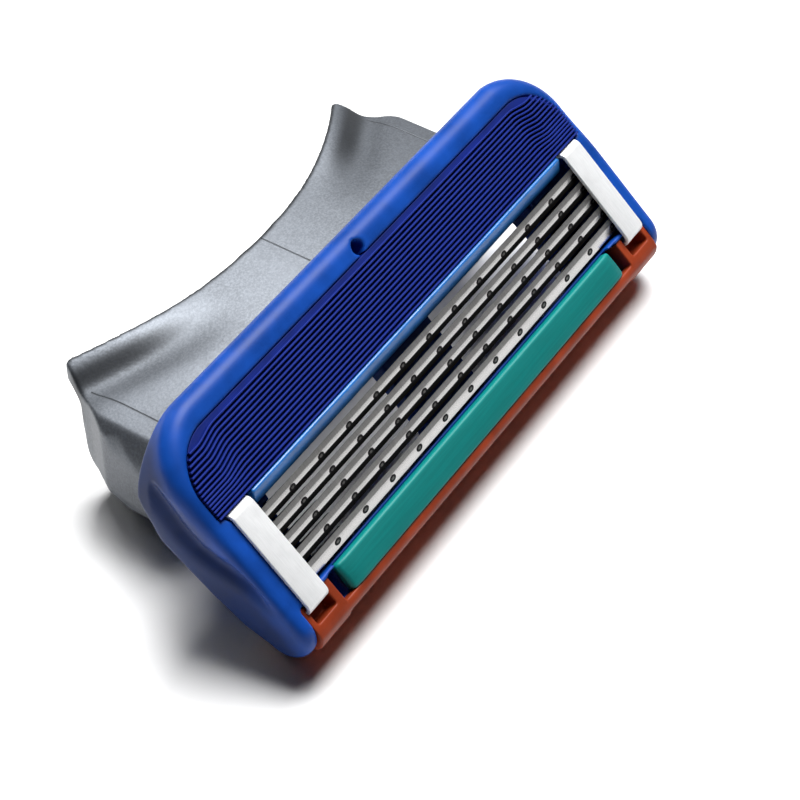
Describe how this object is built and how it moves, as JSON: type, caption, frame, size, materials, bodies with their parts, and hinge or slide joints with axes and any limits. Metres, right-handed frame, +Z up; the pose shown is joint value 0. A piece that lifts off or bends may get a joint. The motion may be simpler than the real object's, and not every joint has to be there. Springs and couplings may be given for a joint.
{
  "type": "razor cartridge",
  "caption": "Pivoting multi-blade shaving cartridge: finned guard, sprung blades under end clips, lubricating strip, rear trimmer, and a shell connector with a wide handle mouth.",
  "frame": {"origin": "centre of the cartridge's footprint on the table it lies on", "axes": "+X along the blades, +Y out of the handle mouth, +Z up"},
  "size_m": [0.042, 0.0224, 0.0139],
  "materials": {
    "housing_blue": "satin moulded",
    "fin_rubber": "soft satin",
    "bar_blue": "gloss",
    "strip_teal": "waxy",
    "carrier_orange": "satin",
    "blade_steel": "ground and coated",
    "support_steel": "rolled",
    "clip_aluminium": "bright",
    "yoke_grey": "metallic satin",
    "spring_blue": "satin"
  },
  "bodies": {
    "connector": {"yoke": "yoke_grey"},
    "blade_unit": {"housing_frame": "housing_blue", "fin_guard": "fin_rubber", "guard_bar": "bar_blue", "lubricating_strip": "strip_teal", "trimmer_carrier": "carrier_orange", "trimmer_blade": "blade_steel", "clip_left": "clip_aluminium", "clip_right": "clip_aluminium", "spring_arms_1": "spring_blue", "spring_arms_2": "spring_blue", "spring_arms_3": "spring_blue", "spring_arms_4": "spring_blue", "spring_arms_5": "spring_blue"},
    "sprung_blade_1": {"blade_1": "blade_steel", "blade_support_1": "support_steel"},
    "sprung_blade_2": {"blade_2": "blade_steel", "blade_support_2": "support_steel"},
    "sprung_blade_3": {"blade_3": "blade_steel", "blade_support_3": "support_steel"},
    "sprung_blade_4": {"blade_4": "blade_steel", "blade_support_4": "support_steel"},
    "sprung_blade_5": {"blade_5": "blade_steel", "blade_support_5": "support_steel"}
  },
  "joints": [
    {"name": "head_pivot", "type": "hinge", "parent": "connector", "child": "blade_unit", "pos_m": [0, -0.00277, 0.00956], "axis": [1, 0, 0], "range_deg": [0, 41]},
    {"name": "blade_1_float", "type": "slide", "parent": "blade_unit", "child": "sprung_blade_1", "axis": [0, 0.6743, -0.7385], "range_m": [0, 0.00025], "stiffness_N_per_m": 500, "springref_m": -0.0003, "deforming": ["spring_arms_1"]},
    {"name": "blade_2_float", "type": "slide", "parent": "blade_unit", "child": "sprung_blade_2", "axis": [0, 0.6743, -0.7385], "range_m": [0, 0.00025], "stiffness_N_per_m": 500, "springref_m": -0.0003, "deforming": ["spring_arms_2"]},
    {"name": "blade_3_float", "type": "slide", "parent": "blade_unit", "child": "sprung_blade_3", "axis": [0, 0.6743, -0.7385], "range_m": [0, 0.00025], "stiffness_N_per_m": 500, "springref_m": -0.0003, "deforming": ["spring_arms_3"]},
    {"name": "blade_4_float", "type": "slide", "parent": "blade_unit", "child": "sprung_blade_4", "axis": [0, 0.6743, -0.7385], "range_m": [0, 0.00025], "stiffness_N_per_m": 500, "springref_m": -0.0003, "deforming": ["spring_arms_4"]},
    {"name": "blade_5_float", "type": "slide", "parent": "blade_unit", "child": "sprung_blade_5", "axis": [0, 0.6743, -0.7385], "range_m": [0, 0.00025], "stiffness_N_per_m": 500, "springref_m": -0.0003, "deforming": ["spring_arms_5"]}
  ]
}
